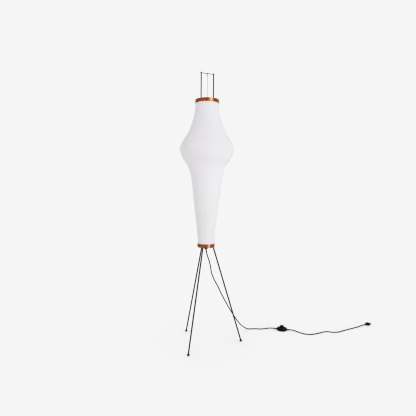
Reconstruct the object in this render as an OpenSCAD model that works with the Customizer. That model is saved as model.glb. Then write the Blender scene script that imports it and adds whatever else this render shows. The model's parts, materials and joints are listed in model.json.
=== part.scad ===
// Paper lantern floor lamp on a three-legged rod stand, in millimetres.
// The origin is on the floor, on the lamp's upright axis. +Z is up.
// A ribbed paper shade hangs by a wire from a crossbar on two uprights, and its foot is
// held by the base plate. Lifted off its hook, the top band slides down and the shade folds.

/* [Stand] */
// Radius of the circle that the feet stand on
foot_circle_r = 216; // [190:2:230]
// Diameter of the leg rods
leg_d = 7; // [5:0.25:7.25]
// Diameter of the ball feet
foot_d = 14; // [12:0.5:16]
// Depth of the small flat under each ball foot
foot_flat = 0.5; // [0.3:0.1:1]
// Turn of the first leg about the lamp's axis, in degrees
leg_turn = 5; // [3:1:6]
// Radius of the circle on which the legs pass through the base plate
leg_root_r = 42; // [41:0.5:43]
// Height of the underside of the base plate
plate_z = 584; // [583:0.5:585]
// Thickness of the base plate
plate_t = 3; // [2.5:0.25:3.5]

/* [Upright frame] */
// Height of the top of the crossbar's cap nuts
lamp_h = 1600; // [1580:5:1640]
// Diameter of the two uprights
upright_d = 5.5; // [4:0.25:5.75]
// Distance of each upright from the lamp's axis
upright_r = 39; // [38.5:0.5:40]
// Turn of the pair of uprights about the lamp's axis, in degrees
upright_turn = 22; // [22:1:26]
// Diameter of the crossbar
crossbar_d = 3; // [2.4:0.1:3.2]

/* [Copper bands] */
// Outer radius of the top band
top_band_r = 70; // [69.9:0.1:71]
// Height of the top band's lower edge
top_band_z = 1420; // [1420:1:1422]
// Width of the top band
top_band_w = 20; // [18:1:24]
// Outer radius of the bottom band
bottom_band_r = 51; // [51:0.1:52]
// Height of the bottom band's lower edge
bottom_band_z = 574; // [572:1:576]
// Height of the bottom band's upper edge
bottom_band_top = 595; // [595:1:597]
// Thickness of both bands
band_t = 1.2; // [1:0.1:1.2]

/* [Paper shade] */
// Thickness of the paper wall
paper_t = 0.4; // [0.2:0.1:0.8]
// Number of bays between the hoops
rib_bays = 46; // [30:1:60]
// Depth that the paper is drawn in between two hoops
rib_sag = 0.8; // [0.3:0.1:1.2]
// Thickness of the six-sided bamboo hoops
hoop_d = 1.8; // [1.2:0.1:2]

/* [Lamp holder and bulb] */
// Height of the lamp holder's underside
holder_z = 800; // [700:5:840]
// Outer diameter of the stem tube
stem_d = 10; // [9:0.5:11]
// Outer diameter of the lamp holder
holder_d = 39; // [38:0.5:41]
// Diameter of the bulb
bulb_d = 60; // [55:1:62]

/* [Cord] */
// Diameter of the cord
cord_d = 5.5; // [4.5:0.1:5.7]
// Diameter of the cord grip under the base plate
grip_d = 21; // [19:0.5:22]

/* [Foot switch] */
// Diameter of the switch housing
switch_d = 66; // [64:1:72]
// Height of the housing at the edge of the button
switch_h = 17.5; // [17:0.5:19]
// Diameter of the button
button_d = 25; // [23:0.5:26]
// Height of the button's top above the floor
button_top = 30.5; // [28:0.5:33]
// Travel of the button
button_travel = 3; // [2:0.5:3]

/* [Plug] */
// Width of the plug body
plug_w = 24; // [22:0.5:27]
// Thickness of the plug body
plug_t = 15; // [14:0.5:17]
// Length of the plug body
plug_l = 30; // [28:1:34]
// Length of the blades
blade_l = 17; // [16:0.5:18]

/* [Hidden] */
$fn = 72;
run_gap = 0.05; // radial gap of a rod in its hole

// stand
foot_z = foot_d / 2 - foot_flat;
leg_bend_r = 12;
leg_bend_z = plate_z - 7;
leg_splay = atan((foot_circle_r - leg_root_r) / (leg_bend_z - foot_z));
leg_bend_run = leg_bend_r * tan(leg_splay / 2);
leg_slant = norm([foot_circle_r - leg_root_r, leg_bend_z - foot_z]) - leg_bend_run;
leg_top = plate_z + plate_t + 6;
nut_h = 4;
leg_nut_af = 10;
upright_nut_af = 9;
plate_r = bottom_band_r - band_t - run_gap;
plate_rim = 6;
plate_vent_d = 11;
plate_vent_r = 24;

// frame
cap_nut_d = 8.5;
cap_nut_h = 2.8;
lug_h = 3.4;
upright_end = 1.4; // depth of the uprights' ends below the top of the cap nuts
crossbar_z = lamp_h - cap_nut_h - lug_h / 2;
sleeve_d = 5.5;
sleeve_l = 8;
hook_d = 1.4;
hook_r = 2.4;
hook_z = crossbar_z - 7;

// top cross wire and hanging wire
cross_d = 2.5;
cross_z = top_band_z + 15;
eye_r = 4;
eye_d = 1.8;
eye_z = cross_z + cross_d / 2 + eye_r - 0.4;
hang_d = 1.5;
loop_r = 3;
link_gap = 0.05;
top_loop_z = hook_z - hook_r + hook_d / 2 + hang_d / 2 + link_gap - loop_r;
low_loop_z = eye_z + eye_r - eye_d / 2 - hang_d / 2 - link_gap + loop_r;

// paper shade: height and radius of the paper's outer face, joined by one smooth curve
STATIONS = [
    [595, 49.6], [645, 52.5], [720, 61], [800, 70], [880, 79],
    [950, 86], [1010, 99], [1060, 117], [1100, 144], [1149, 160.5],
    [1200, 145], [1245, 116.5], [1300, 94.5], [1360, 76.5], [1420, 68.6]
];
last_station = len(STATIONS) - 1;
paper_bottom = 588.5;
paper_top = 1430.5;
first_hoop_z = 592;
last_hoop_z = 1426;
rib_pitch = (last_hoop_z - first_hoop_z) / rib_bays;
steps_per_bay = 4;

// lamp holder and bulb
stem_bottom = 567;
stem_bore = 7.5;
stem_nut_af = 17;
grip_z = 561;
grip_h = 17;
relief_d = 7.5;
lamp_relief_l = 20;
relief_tilt = 14; // lean of the relief under the grip, and the way that it leans
relief_turn = 37;
holder_cap_h = 18;
holder_top = holder_z + 57;
shell_r = 13.9;
cap_r = 13.3;
bulb_z = holder_z + 27;
bulb_neck_z = holder_z + 52;
bulb_centre_z = holder_z + 103;
bulb_t = 1;
bulb_curve = 12;

// foot switch, its place on the floor and the height of its cord entries
switch_at = [503, 219];
switch_turn = -15;
entry_z = 6;
base_h = 6;
relief_l = 20;
relief_root_d = 8;
spring_turns = 4;
spring_r = 4.5;
spring_wire_r = 0.4;
spring_bottom = 7.5;
spring_top = 14;
screw_places = [-22, 22];
screw_d = 3;

// plug: where its boot starts on the floor, and the way that it points
plug_at = [1083, 312];
plug_turn = 28;
plug_z = plug_t / 2;

// cord routes, as points on the floor or in the air
// A cord runs straight for a short way out of each relief.
straight = 12;
lamp_way = [
    sin(relief_tilt) * cos(relief_turn), sin(relief_tilt) * sin(relief_turn), -cos(relief_tilt)
];
lamp_exit = [0, 0, grip_z - 1] + lamp_relief_l * lamp_way;
switch_mid = [switch_at[0], switch_at[1], entry_z];
switch_reach = switch_d / 2 + relief_l;
switch_way = [cos(switch_turn), sin(switch_turn), 0];
plug_start = [plug_at[0], plug_at[1], plug_z];
plug_way = [cos(plug_turn), sin(plug_turn), 0];
LAMP_ROUTE = [
    lamp_exit, lamp_exit + straight * lamp_way, [12, 9, 511], [19, 14.5, 490],
    [25, 19, 467], [29.5, 22.5, 443], [34, 26, 416], [43, 33, 390], [54, 42, 364], [68, 53, 337],
    [80, 63, 312], [92, 72, 284], [107, 84, 254], [127, 100, 214], [149, 117, 172],
    [172, 135, 132], [196, 154, 92], [220, 173, 57], [244, 192, 31], [266, 209, 13],
    [288, 221, 4.5], [312, 228, 3], [338, 229, 3], [363, 226, 3], [384, 230, 3],
    [403, 235.5, 3.6], [421.5, 238, 5], switch_mid - (switch_reach + straight) * switch_way,
    switch_mid - switch_reach * switch_way
];
PLUG_ROUTE = [
    switch_mid + switch_reach * switch_way,
    switch_mid + (switch_reach + straight) * switch_way,
    [578, 197, 5], [589, 188, 3.6], [599, 177, 3], [610, 164, 3],
    [622, 151, 3], [638, 140, 3], [657, 135, 3], [677, 136, 3], [697, 143, 3],
    [719, 153, 3], [742, 166, 3], [763, 179, 3], [784, 186, 3], [804, 184, 3],
    [823, 177, 3], [844, 176, 3], [866, 184, 3], [890, 198, 3], [940, 229, 3],
    [990, 258, 3], [1026, 280, 3.2], [1052, 295, 5.4], plug_start - straight * plug_way,
    plug_start
];
cord_ring_step = 21;
cord_sides = 8;

// ---- shared shapes

// A round rod along Z with its start at the origin
module rod(d, l) {
    cylinder(d = d, h = l);
}

// A hexagon nut with a round bore, standing on its origin
module hex_nut(across_flats, h, bore_d) {
    difference() {
        cylinder(d = across_flats / cos(30), h = h, $fn = 6);
        translate([0, 0, -1]) cylinder(d = bore_d, h = h + 2);
    }
}

// Children repeated for each leg
module at_legs() {
    for (i = [0:2]) rotate(leg_turn + 120 * i) children();
}

// Children repeated for each upright
module at_uprights() {
    for (side = [0, 180]) rotate(upright_turn + side) translate([upright_r, 0, 0]) children();
}

// An upright ring of wire in the XZ plane, centred on the origin
module wire_ring(r, d) {
    rotate([90, 0, 0]) rotate_extrude() translate([r, 0]) circle(d = d);
}

// A moulded cord relief along X: a tapered sleeve with ring grooves, its wide end at the origin
module relief(root_d, tip_d, l, grooves) {
    pitch = l / (grooves + 1);
    rotate([0, 90, 0]) difference() {
        cylinder(d1 = root_d, d2 = tip_d, h = l);
        for (i = [1:grooves]) translate([0, 0, i * pitch - 0.6]) difference() {
            cylinder(d = root_d + 2, h = 1.2);
            translate([0, 0, -1]) cylinder(d = root_d + (tip_d - root_d) * i / (grooves + 1) - 1, h = 4);
        }
    }
}

// ---- smooth curves

// Height of a cubic curve between two heights with given slopes, at the share f of the way
function cubic(a, b, slope_a, slope_b, f) =
    (2 * pow(f, 3) - 3 * pow(f, 2) + 1) * a + (pow(f, 3) - 2 * pow(f, 2) + f) * slope_a
    + (3 * pow(f, 2) - 2 * pow(f, 3)) * b + (pow(f, 3) - pow(f, 2)) * slope_b;

// Points of a smooth route through all the given points, about one every step
function route_slope(p, i) = i == 0 ? p[1] - p[0]
    : i == len(p) - 1 ? p[i] - p[i - 1] : (p[i + 1] - p[i - 1]) / 2;
function smooth_route(p, step) = concat(
    [for (i = [0:len(p) - 2]) let (n = max(1, round(norm(p[i + 1] - p[i]) / step)))
        for (k = [0:n - 1]) cubic(p[i], p[i + 1], route_slope(p, i), route_slope(p, i + 1), k / n)],
    [p[len(p) - 1]]);
function route_length(p) = len(p) < 2 ? 0
    : norm(p[1] - p[0]) + route_length([for (i = [1:len(p) - 1]) p[i]]);

// A tube along a path, as one closed mesh. Each ring is square to the path there, and its
// first side points along the given reference direction.
function unit(v) = v / norm(v);
function ring_way(p, i) = unit(i == 0 ? p[1] - p[0]
    : i == len(p) - 1 ? p[i] - p[i - 1] : unit(p[i + 1] - p[i]) + unit(p[i] - p[i - 1]));
function tube_points(p, r, sides, reference) = [
    for (i = [0:len(p) - 1])
        let (way = ring_way(p, i), across = unit(cross(way, reference)), up = cross(across, way))
        for (s = [0:sides - 1]) let (a = 360 * (s + 0.5) / sides)
            p[i] + r * cos(a) * across + r * sin(a) * up
];
function tube_faces(rings, sides) = concat(
    [for (s = [1:sides - 2]) [0, s + 1, s]],
    [for (s = [1:sides - 2]) let (e = (rings - 1) * sides) [e, e + s, e + s + 1]],
    [for (i = [0:rings - 2]) for (s = [0:sides - 1])
        let (a = i * sides + s, b = i * sides + (s + 1) % sides)
        each [[a, b, b + sides], [a, b + sides, a + sides]]]);
module tube(p, r, sides, reference) {
    polyhedron(tube_points(p, r, sides, reference), tube_faces(len(p), sides));
}

// ---- stand

// One rod: a slanted run up from the ball, a bend, and a short upright end through the plate
module leg() {
    color("#151417") union() {
        translate([foot_circle_r, 0, foot_z]) rotate([0, -leg_splay, 0]) rod(leg_d, leg_slant);
        translate([leg_root_r + leg_bend_r, 0, leg_bend_z + leg_bend_run])
            rotate([90, 0, 0]) rotate(180) rotate_extrude(angle = leg_splay)
            translate([leg_bend_r, 0]) circle(d = leg_d);
        translate([leg_root_r, 0, leg_bend_z + leg_bend_run])
            rod(leg_d, leg_top - leg_bend_z - leg_bend_run);
    }
}
module leg_side() rotate(leg_turn) leg();
module leg_back() rotate(leg_turn + 120) leg();
module leg_front() rotate(leg_turn + 240) leg();

// A ball with a blind hole for the rod and a small flat to stand on
module foot() {
    color("#0f0f10") difference() {
        translate([foot_circle_r, 0, foot_z]) sphere(d = foot_d);
        translate([foot_circle_r, 0, foot_z]) rotate([0, -leg_splay, 0])
            cylinder(d = leg_d + 2 * run_gap, h = foot_d);
        translate([foot_circle_r - foot_d, -foot_d, -foot_d]) cube([2 * foot_d, 2 * foot_d, foot_d]);
    }
}
module foot_side() rotate(leg_turn) foot();
module foot_back() rotate(leg_turn + 120) foot();
module foot_front() rotate(leg_turn + 240) foot();

// A pressed plate with a turned-down rim, drilled for the legs, the uprights and the stem
module base_plate() {
    color("#1b1a1c") difference() {
        rotate_extrude() polygon([
            [0, plate_z], [plate_r - 1.2, plate_z], [plate_r - 1.2, plate_z - plate_rim],
            [plate_r, plate_z - plate_rim], [plate_r, plate_z + plate_t - 0.8],
            [plate_r - 0.8, plate_z + plate_t], [0, plate_z + plate_t]
        ]);
        translate([0, 0, plate_z - 1]) cylinder(d = stem_d + 2 * run_gap, h = plate_t + 2);
        at_legs() translate([leg_root_r, 0, plate_z - 1])
            cylinder(d = leg_d + 2 * run_gap, h = plate_t + 2);
        at_uprights() translate([0, 0, plate_z - 1])
            cylinder(d = upright_d + 2 * run_gap, h = plate_t + 2);
        for (i = [0:5]) rotate(leg_turn + 30 + 60 * i) translate([plate_vent_r, 0, plate_z - 1])
            cylinder(d = plate_vent_d, h = plate_t + 2);
    }
}

// A nut over the plate and one under it on each leg
module leg_nuts() {
    color("#2c2b2d") at_legs() translate([leg_root_r, 0, 0]) rotate(30) {
        translate([0, 0, plate_z + plate_t]) hex_nut(leg_nut_af, nut_h, leg_d + 2 * run_gap);
        translate([0, 0, plate_z - nut_h]) hex_nut(leg_nut_af, nut_h, leg_d + 2 * run_gap);
    }
}

// A plain hoop of sheet with both edges rounded over
module band(outer_r, low, w) {
    color("#b4663a") rotate_extrude() {
        translate([outer_r - band_t, low + band_t / 2]) square([band_t, w - band_t]);
        for (z = [low + band_t / 2, low + w - band_t / 2])
            translate([outer_r - band_t / 2, z]) circle(d = band_t);
    }
}
module bottom_band() band(bottom_band_r, bottom_band_z, bottom_band_top - bottom_band_z);

// ---- upright frame

module upright() {
    color("#1c1b1d") translate([upright_r, 0, plate_z - nut_h - 2])
        rod(upright_d, lamp_h - upright_end - plate_z + nut_h + 2);
}
module upright_right() rotate(upright_turn) upright();
module upright_left() rotate(upright_turn + 180) upright();

module upright_nuts() {
    color("#2c2b2d") at_uprights() {
        translate([0, 0, plate_z + plate_t]) hex_nut(upright_nut_af, nut_h, upright_d + 2 * run_gap);
        translate([0, 0, plate_z - nut_h]) hex_nut(upright_nut_af, nut_h, upright_d + 2 * run_gap);
    }
}

// A thin bar with a lug at each end that the uprights pass through
module crossbar() {
    color("#8a8153") difference() {
        union() {
            rotate(upright_turn) translate([-upright_r, 0, crossbar_z]) rotate([0, 90, 0])
                rod(crossbar_d, 2 * upright_r);
            at_uprights() translate([0, 0, crossbar_z - lug_h / 2])
                cylinder(d = upright_d + 3, h = lug_h);
        }
        at_uprights() translate([0, 0, crossbar_z - lug_h])
            cylinder(d = upright_d + 2 * run_gap, h = 2 * lug_h);
    }
}

// Domed nuts that close the uprights' ends
module crossbar_caps() {
    color("#262523") at_uprights() difference() {
        translate([0, 0, crossbar_z + lug_h / 2]) rotate_extrude() polygon([
            [0, 0], [cap_nut_d / 2, 0], [cap_nut_d / 2, cap_nut_h - 1.2],
            [cap_nut_d / 2 - 0.6, cap_nut_h - 0.5], [cap_nut_d / 2 - 1.8, cap_nut_h - 0.1],
            [0, cap_nut_h]
        ]);
        translate([0, 0, crossbar_z])
            cylinder(d = upright_d + 2 * run_gap, h = lamp_h - upright_end + 0.1 - crossbar_z);
    }
}

// A sleeve on the middle of the crossbar, and under it a wire bent to an open hook
module hook() {
    color("#2a2926") rotate(upright_turn) difference() {
        union() {
            translate([-sleeve_l / 2, 0, crossbar_z]) rotate([0, 90, 0]) rod(sleeve_d, sleeve_l);
            translate([-hook_r, 0, hook_z]) rod(hook_d, crossbar_z - hook_z);
            translate([0, 0, hook_z]) rotate([90, 0, 0]) rotate(180)
                rotate_extrude(angle = 205) translate([hook_r, 0]) circle(d = hook_d);
        }
        translate([-sleeve_l, 0, crossbar_z]) rotate([0, 90, 0])
            cylinder(d = crossbar_d + 2 * run_gap, h = 2 * sleeve_l);
    }
}

// ---- stem, lamp holder and bulb

module stem_tube() {
    color("#232225") difference() {
        translate([0, 0, stem_bottom]) rod(stem_d, holder_z + 8 - stem_bottom);
        translate([0, 0, stem_bottom - 1]) cylinder(d = stem_bore, h = holder_z - stem_bottom + 20);
    }
}

module stem_nuts() {
    color("#2c2b2d") {
        translate([0, 0, plate_z + plate_t]) hex_nut(stem_nut_af, nut_h, stem_d + 2 * run_gap);
        translate([0, 0, plate_z - nut_h]) hex_nut(stem_nut_af, nut_h, stem_d + 2 * run_gap);
    }
}

// A round grip screwed on the stem's lower end, narrowed towards the cord
module cord_grip() {
    color("#121213") difference() {
        translate([0, 0, grip_z]) rotate_extrude() polygon([
            [0, 0], [6, 0], [7.5, 0.6], [grip_d / 2 - 0.8, 4.5], [grip_d / 2, 7],
            [grip_d / 2, grip_h - 1], [grip_d / 2 - 1, grip_h], [0, grip_h]
        ]);
        translate([0, 0, stem_bottom]) cylinder(d = stem_d + 2 * run_gap, h = grip_h);
        translate([0, 0, grip_z - 1]) cylinder(d = relief_d + 2 * run_gap, h = grip_h);
    }
}

// The cord's moulded relief below the grip, leaning with the cord, and its root inside the grip
module lamp_relief() {
    color("#121213") translate([0, 0, grip_z - 1]) union() {
        rotate([0, 90 - relief_tilt, relief_turn]) relief(relief_d, cord_d + 0.4, lamp_relief_l, 3);
        sphere(d = relief_d);
        rod(relief_d, stem_bottom - grip_z);
    }
}

// The lead inside the stem, from the relief to the lamp holder's terminals
module inner_lead() {
    color("#19191a") translate([0, 0, stem_bottom - 1]) rod(cord_d, holder_z + 10 - stem_bottom + 1);
}

module holder_cap() {
    color("#161517") difference() {
        translate([0, 0, holder_z]) rotate_extrude() polygon([
            [0, 0], [8, 0], [9.5, 2], [13, 4], [16.5, 7.5], [18.6, 12],
            [holder_d / 2, holder_cap_h], [0, holder_cap_h]
        ]);
        translate([0, 0, holder_z - 1]) cylinder(d = stem_d + 2 * run_gap, h = 10);
        translate([0, 0, holder_z + 8]) cylinder(r1 = 10, r2 = 16, h = holder_cap_h - 7.9);
    }
}

// A sleeve with two shallow waists for the fingers, open at the top
module holder_sleeve() {
    sleeve_h = holder_top - holder_z - holder_cap_h;
    r = holder_d / 2;
    color("#161517") translate([0, 0, holder_z + holder_cap_h]) difference() {
        rotate_extrude() polygon([
            [0, 0], [r, 0], [r, 4], [r - 1, 6], [r - 1, 14], [r, 16], [r, 20],
            [r - 1, 22], [r - 1, 30], [r, 32], [r, sleeve_h - 1], [r - 1, sleeve_h], [0, sleeve_h]
        ]);
        translate([0, 0, -1]) cylinder(r = shell_r + run_gap, h = sleeve_h + 2);
    }
}

// The ceramic block that carries the shell and the contact
module holder_insert() {
    color("#e9e5da") difference() {
        translate([0, 0, holder_z + 10]) cylinder(r1 = 9.9, r2 = shell_r, h = 11);
        translate([0, 0, holder_z + 9]) cylinder(d = cord_d + 1, h = 20);
    }
}

module screw_shell() {
    color("#c9a857") difference() {
        translate([0, 0, holder_z + 21]) cylinder(r = shell_r, h = 29);
        translate([0, 0, holder_z + 22]) cylinder(r = shell_r - 0.5, h = 30);
        translate([0, 0, holder_z + 20]) cylinder(r = 6, h = 4);
    }
}

module centre_contact() {
    color("#c9a857") translate([0, 0, holder_z + 21]) cylinder(r1 = 4.5, r2 = 3, h = 4);
}

module bulb_cap() {
    color("#b9b8b4") union() {
        translate([0, 0, bulb_z + 2]) cylinder(r = cap_r, h = bulb_neck_z - bulb_z - 2);
        translate([0, 0, bulb_z]) cylinder(r1 = 5, r2 = 9, h = 2);
        translate([0, 0, bulb_z - 2]) cylinder(r = 4.5, h = 2);
    }
}

// The glass: a neck that flares into a ball, as a thin revolved wall
bulb_low_angle = -40;
function bulb_outline(r, neck_r) = concat(
    [for (k = [0:bulb_curve - 1]) let (f = k / bulb_curve) [
        cubic(neck_r, r * cos(bulb_low_angle), 2, -r * sin(bulb_low_angle), f),
        cubic(bulb_neck_z, bulb_centre_z + r * sin(bulb_low_angle), 22, r * cos(bulb_low_angle), f)]],
    [for (k = [0:bulb_curve]) let (a = bulb_low_angle + (90 - bulb_low_angle) * k / bulb_curve)
        [k == bulb_curve ? 0 : r * cos(a), bulb_centre_z + r * sin(a)]]);
function reversed(p) = [for (i = [len(p) - 1:-1:0]) p[i]];
module bulb_glass() {
    color("#f3f1ea") rotate_extrude() polygon(concat(
        bulb_outline(bulb_d / 2, cap_r - 0.8),
        reversed(bulb_outline(bulb_d / 2 - bulb_t, cap_r - 0.8 - bulb_t))));
}

// ---- paper shade

// Slope and radius of the smooth outline at a height
function station_slope(i) = i == 0 || i == last_station ? 0
    : (STATIONS[i + 1][1] - STATIONS[i - 1][1]) / (STATIONS[i + 1][0] - STATIONS[i - 1][0]);
function station_below(z) = max([for (i = [0:last_station - 1]) if (z >= STATIONS[i][0]) i]);
function outline_r(z) = z <= STATIONS[0][0] ? STATIONS[0][1]
    : z >= STATIONS[last_station][0] ? STATIONS[last_station][1]
    : let (i = station_below(z), a = STATIONS[i], b = STATIONS[i + 1], h = b[0] - a[0])
        cubic(a[1], b[1], station_slope(i) * h, station_slope(i + 1) * h, (z - a[0]) / h);
// Share of its bay that a height has climbed, and the paper's radius there: full at each
// hoop, and drawn in along a parabola between two hoops
function bay_share(z) = let (t = (z - first_hoop_z) / rib_pitch) t - floor(t + 0.000001);
function paper_r(z) = outline_r(z) - rib_sag * 4 * bay_share(z) * (1 - bay_share(z));
paper_heights = concat([paper_bottom],
    [for (k = [0:rib_bays * steps_per_bay]) first_hoop_z + k * rib_pitch / steps_per_bay],
    [paper_top]);
function on_bay(i) = i > 0 && i < len(paper_heights) - 1;
function paper_face(inset) = [for (i = [0:len(paper_heights) - 1])
    let (z = paper_heights[i]) [(on_bay(i) ? paper_r(z) : outline_r(z)) - inset, z]];

// One wall of paper, glued over the hoops and drawn in a little between them
module paper_shade() {
    color("#f4f2f0") rotate_extrude($fn = 96)
        polygon(concat(paper_face(0), reversed(paper_face(paper_t))));
}

// A split bamboo hoop in the crest of every rib, held off the slanted paper by its own radius
function wall_slope(z) = abs(outline_r(z + 1) - outline_r(z - 1)) / 2 + 4 * rib_sag / rib_pitch;
function hoop_r(z) = outline_r(z) - paper_t - (hoop_d / 2 + 0.03) * norm([1, wall_slope(z)]);
module rib_hoops() {
    color("#d8c69a") for (k = [0:rib_bays]) let (z = first_hoop_z + k * rib_pitch)
        translate([0, 0, z]) rotate_extrude() translate([hoop_r(z), 0]) circle(d = hoop_d, $fn = 6);
}

// ---- top band and its suspension

module top_band() band(top_band_r, top_band_z, top_band_w);

// A wire across the band with a curved tab at each end, and an eye over its middle
module top_cross_wire() {
    inner_r = top_band_r - band_t;
    color("#8f7a5c") rotate(upright_turn + 90) union() {
        translate([-inner_r + 0.6, 0, cross_z]) rotate([0, 90, 0]) rod(cross_d, 2 * inner_r - 1.2);
        translate([0, 0, eye_z]) wire_ring(eye_r, eye_d);
        intersection() {
            translate([0, 0, cross_z - 3]) difference() {
                cylinder(r = inner_r - 0.02, h = 6.5);
                translate([0, 0, -1]) cylinder(r = inner_r - 1.02, h = 9);
            }
            translate([-inner_r - 1, -5, cross_z - 4]) cube([2 * inner_r + 2, 10, 9]);
        }
    }
}

// A straight wire with a loop at each end, the loops a quarter turn apart
module hanging_wire() {
    color("#8d8c8a") rotate(upright_turn) union() {
        translate([0, 0, top_loop_z]) rotate(90) wire_ring(loop_r, hang_d);
        translate([0, 0, low_loop_z]) wire_ring(loop_r, hang_d);
        translate([0, 0, low_loop_z + loop_r]) rod(hang_d, top_loop_z - low_loop_z - 2 * loop_r);
    }
}

// ---- cords

lamp_path = smooth_route(LAMP_ROUTE, cord_ring_step);
plug_path = smooth_route(PLUG_ROUTE, cord_ring_step);
echo(cord_rings = len(lamp_path) + len(plug_path));
echo(cord_lengths = [route_length(lamp_path), route_length(plug_path)]);
hang_side = unit([-LAMP_ROUTE[13][1], LAMP_ROUTE[13][0], 0]);

module lamp_cord() {
    color("#131314") tube(lamp_path, cord_d / 2, cord_sides, hang_side);
}
module plug_cord() {
    color("#131314") tube(plug_path, cord_d / 2, cord_sides, [0, 0, 1]);
}

// ---- foot switch

module at_switch() {
    translate([switch_at[0], switch_at[1], 0]) rotate(switch_turn) children();
}
module cord_entries(d) {
    translate([-switch_d, 0, entry_z]) rotate([0, 90, 0]) cylinder(d = d, h = 2 * switch_d);
}

// A shallow tray with two posts for the screws
module switch_base() {
    color("#101012") at_switch() difference() {
        union() {
            difference() {
                rotate_extrude() polygon([
                    [0, 0], [switch_d / 2 - 2, 0], [switch_d / 2, 2], [switch_d / 2, base_h], [0, base_h]
                ]);
                translate([0, 0, 1.8]) cylinder(r = switch_d / 2 - 2, h = base_h);
            }
            for (y = screw_places) translate([0, y, 1]) cylinder(d = 7, h = base_h - 1);
        }
        for (y = screw_places) translate([0, y, -1]) {
            cylinder(d = screw_d + 2 * run_gap, h = base_h + 2);
            cylinder(d = 6, h = 2.5);
        }
        difference() {
            cord_entries(relief_root_d + 2 * run_gap);
            cylinder(r = switch_d / 2 - 8, h = 2 * base_h, center = true);
        }
    }
}

// A domed shell with a collar round the button, and two bosses that take the screws
module switch_cover() {
    r = switch_d / 2;
    hole_r = button_d / 2 + 0.3;
    dome = [[0, 0], [0.1, 4], [1.2, 6.5], [4, 8.6], [9, 10], [14.5, 10.6]];
    color("#101012") at_switch() difference() {
        union() {
            rotate_extrude() polygon(concat(
                [for (p = dome) [r - p[0], base_h + p[1]]],
                [[hole_r + 2, switch_h], [hole_r, switch_h], [hole_r, switch_h - 3]],
                reversed([for (p = dome) [r - 2 - 0.9 * p[0], base_h + 0.86 * p[1]]])));
            for (y = screw_places) translate([0, y, base_h]) cylinder(d = 7, h = 9.2);
        }
        for (y = screw_places) translate([0, y, base_h - 1])
            cylinder(d = screw_d + 2 * run_gap, h = 7);
        cord_entries(relief_root_d + 2 * run_gap);
    }
}

// A domed cap with a flange that keeps it under the cover
module switch_button() {
    flange_z = switch_h - 5.1;
    color("#0d0d10") at_switch() rotate_extrude() polygon([
        [0, button_top], [button_d / 2 - 4, button_top - 0.5], [button_d / 2 - 1.2, button_top - 1.8],
        [button_d / 2, button_top - 4], [button_d / 2, flange_z + 2], [button_d / 2 + 1.6, flange_z + 2],
        [button_d / 2 + 1.6, flange_z], [6.5, flange_z], [6.5, spring_top], [0, spring_top]
    ]);
}

// The return spring, one unbroken wire, with its gap between turns measured below
function spring_z(t) = spring_bottom + spring_wire_r
    + (spring_top - spring_bottom - 2 * spring_wire_r) * t / spring_turns;
spring_path = [for (k = [0:spring_turns * 8]) let (t = k / 8)
    [spring_r * cos(360 * t), spring_r * sin(360 * t), spring_z(t)]];
echo(spring_gap = min([for (i = [0:len(spring_path) - 9])
    norm(spring_path[i + 8] - spring_path[i]) - 2 * spring_wire_r]));
module button_spring() {
    color("#a9a9a6") at_switch() tube(spring_path, spring_wire_r, 6, [0, 0, 1]);
}

// The moulded block that holds the contacts under the spring
module contact_block() {
    color("#2b2b2e") at_switch() union() {
        translate([-13, -9, 1.8]) cube([26, 18, 4]);
        translate([0, 0, 5.8]) cylinder(r = 6.2, h = spring_bottom - 5.8);
        translate([0, 0, spring_bottom]) cylinder(r = spring_r - spring_wire_r - 0.3, h = 2);
    }
}

module switch_screws() {
    color("#77777a") at_switch() for (y = screw_places) translate([0, y, 0.3]) {
        cylinder(d = 5.6, h = 1.2);
        cylinder(d = screw_d, h = base_h + 5.2);
    }
}

module switch_relief_in() {
    color("#101012") at_switch() rotate(180) translate([switch_d / 2, 0, entry_z]) {
        relief(relief_root_d, cord_d + 0.6, relief_l, 3);
        translate([-4, 0, 0]) rotate([0, 90, 0]) rod(relief_root_d, 4);
    }
}
module switch_relief_out() {
    color("#101012") at_switch() translate([switch_d / 2, 0, entry_z]) {
        relief(relief_root_d, cord_d + 0.6, relief_l, 3);
        translate([-4, 0, 0]) rotate([0, 90, 0]) rod(relief_root_d, 4);
    }
}

// ---- plug, lying on its wide face

plug_relief_l = 18;
module at_plug() {
    translate([plug_at[0], plug_at[1], plug_z]) rotate(plug_turn) children();
}

module plug_relief() {
    color("#101012") at_plug() translate([plug_relief_l, 0, 0]) rotate(180)
        relief(relief_root_d, cord_d + 0.6, plug_relief_l, 3);
}

// Half of a side outline of the plug body, from its back to its face, for a given half width
function plug_side(h) = [
    [0, 5.5], [2, 5.9], [5, min(h - 0.6, 8)], [9, h - 0.3], [13, h], [plug_l - 2, h],
    [plug_l - 0.6, h - 0.5], [plug_l, h - 1.6]
];
function mirrored(p) = concat(p, reversed([for (q = p) [q[0], -q[1]]]));

// A body that flares from the relief to its face, both in plan and from the side
module plug_body() {
    color("#101012") at_plug() translate([plug_relief_l, 0, 0]) intersection() {
        translate([0, 0, -plug_t]) linear_extrude(2 * plug_t) polygon(mirrored(plug_side(plug_w / 2)));
        rotate([90, 0, 0]) translate([0, 0, -plug_w]) linear_extrude(2 * plug_w)
            polygon(mirrored(plug_side(plug_t / 2)));
    }
}

// Two flat blades, each with its hole
module plug_blades() {
    blade_gap = 12.7;
    color("#c8c2ae") at_plug() for (side = [-1, 1])
        translate([plug_relief_l + plug_l, side * blade_gap / 2, 0]) difference() {
            translate([0, -0.75, -3.2]) cube([blade_l, 1.5, 6.4]);
            translate([blade_l - 4, -3, 0]) rotate([-90, 0, 0]) cylinder(d = 3, h = 6);
        }
}

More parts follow.
